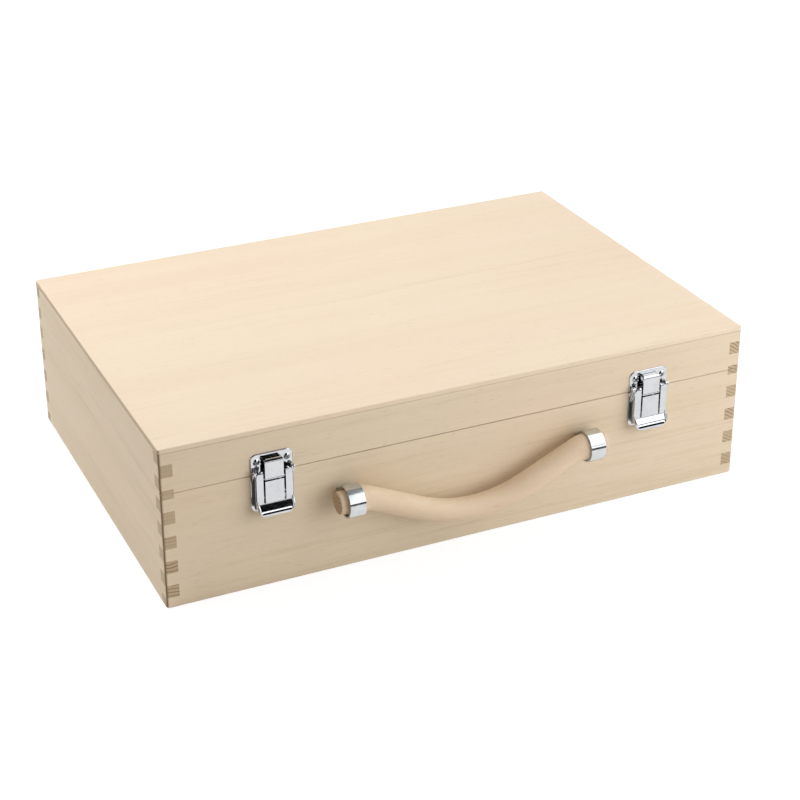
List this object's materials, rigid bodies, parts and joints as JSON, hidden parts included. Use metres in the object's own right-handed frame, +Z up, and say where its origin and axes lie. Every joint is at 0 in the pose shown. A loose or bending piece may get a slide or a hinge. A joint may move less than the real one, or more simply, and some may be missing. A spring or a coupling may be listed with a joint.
{
  "type": "wooden case with carrying handle",
  "caption": "Flat finger-jointed wooden case with a hinged lid, chrome draw latches and a bent wooden handle held in steel straps.",
  "frame": {"origin": "middle of the case's footprint on its underside", "axes": "+X to the right seen from the front, +Y towards the hinges, +Z up; the latches and the handle are on the -Y side"},
  "size_m": [0.4, 0.2987, 0.1088],
  "materials": {
    "board_wood": "fine-sanded pale wood, unvarnished",
    "side_wood": "fine-sanded pale wood, unvarnished",
    "top_plywood": "fine-sanded pale veneer",
    "bottom_plywood": "plain pale plywood",
    "grip_wood": "smooth bent beech-like wood",
    "latch_chrome": "bright chrome plate",
    "strap_steel": "bright zinc plate",
    "hinge_steel": "nickel plate",
    "screw_steel": "bright plated steel"
  },
  "bodies": {
    "base": {"base_front_board": "board_wood", "base_back_board": "board_wood", "base_left_side": "side_wood", "base_right_side": "side_wood", "base_bottom_panel": "bottom_plywood", "handle_left_strap": "strap_steel", "handle_right_strap": "strap_steel", "handle_strap_screws": "screw_steel", "latch_left_base_plate": "latch_chrome", "latch_right_base_plate": "latch_chrome", "latch_base_screws": "screw_steel", "latch_left_rivets": "screw_steel", "latch_right_rivets": "screw_steel", "hinge_left_lower_leaf": "hinge_steel", "hinge_right_lower_leaf": "hinge_steel", "hinge_lower_screws": "screw_steel", "hinge_left_pin": "hinge_steel", "hinge_right_pin": "hinge_steel"},
    "lid": {"lid_front_board": "board_wood", "lid_back_board": "board_wood", "lid_left_side": "side_wood", "lid_right_side": "side_wood", "lid_top_panel": "top_plywood", "latch_left_catch_plate": "latch_chrome", "latch_right_catch_plate": "latch_chrome", "latch_catch_screws": "screw_steel", "hinge_left_upper_leaf": "hinge_steel", "hinge_right_upper_leaf": "hinge_steel", "hinge_upper_screws": "screw_steel"},
    "handle": {"handle_grip": "grip_wood"},
    "latch_left_lever": {"latch_left_lever": "latch_chrome", "latch_left_hook_pin": "screw_steel"},
    "latch_right_lever": {"latch_right_lever": "latch_chrome", "latch_right_hook_pin": "screw_steel"},
    "latch_left_hook": {"latch_left_hook": "latch_chrome"},
    "latch_right_hook": {"latch_right_hook": "latch_chrome"}
  },
  "joints": [
    {"name": "lid_hinge", "type": "hinge", "parent": "base", "child": "lid", "pos_m": [0, 0.1377, 0.0785], "axis": [-1, 0, 0], "range_deg": [0, 95]},
    {"name": "handle_swing", "type": "hinge", "parent": "base", "child": "handle", "pos_m": [0, -0.14675, 0.0534], "axis": [-1, 0, 0], "range_deg": [-6, 186]},
    {"name": "latch_left_lever_turn", "type": "hinge", "parent": "base", "child": "latch_left_lever", "pos_m": [-0.13, -0.1381, 0.081], "axis": [-1, 0, 0], "range_deg": [0, 100]},
    {"name": "latch_left_hook_turn", "type": "hinge", "parent": "latch_left_lever", "child": "latch_left_hook", "pos_m": [-0.13, -0.13885, 0.0769], "axis": [-1, 0, 0], "range_deg": [-100, 0]},
    {"name": "latch_right_lever_turn", "type": "hinge", "parent": "base", "child": "latch_right_lever", "pos_m": [0.13, -0.1381, 0.081], "axis": [-1, 0, 0], "range_deg": [0, 100]},
    {"name": "latch_right_hook_turn", "type": "hinge", "parent": "latch_right_lever", "child": "latch_right_hook", "pos_m": [0.13, -0.13885, 0.0769], "axis": [-1, 0, 0], "range_deg": [-100, 0]}
  ],
  "couplings": [
    {"joint": "latch_left_hook_turn", "follows": "latch_left_lever_turn", "ratio": -1},
    {"joint": "latch_right_hook_turn", "follows": "latch_right_lever_turn", "ratio": -1}
  ]
}
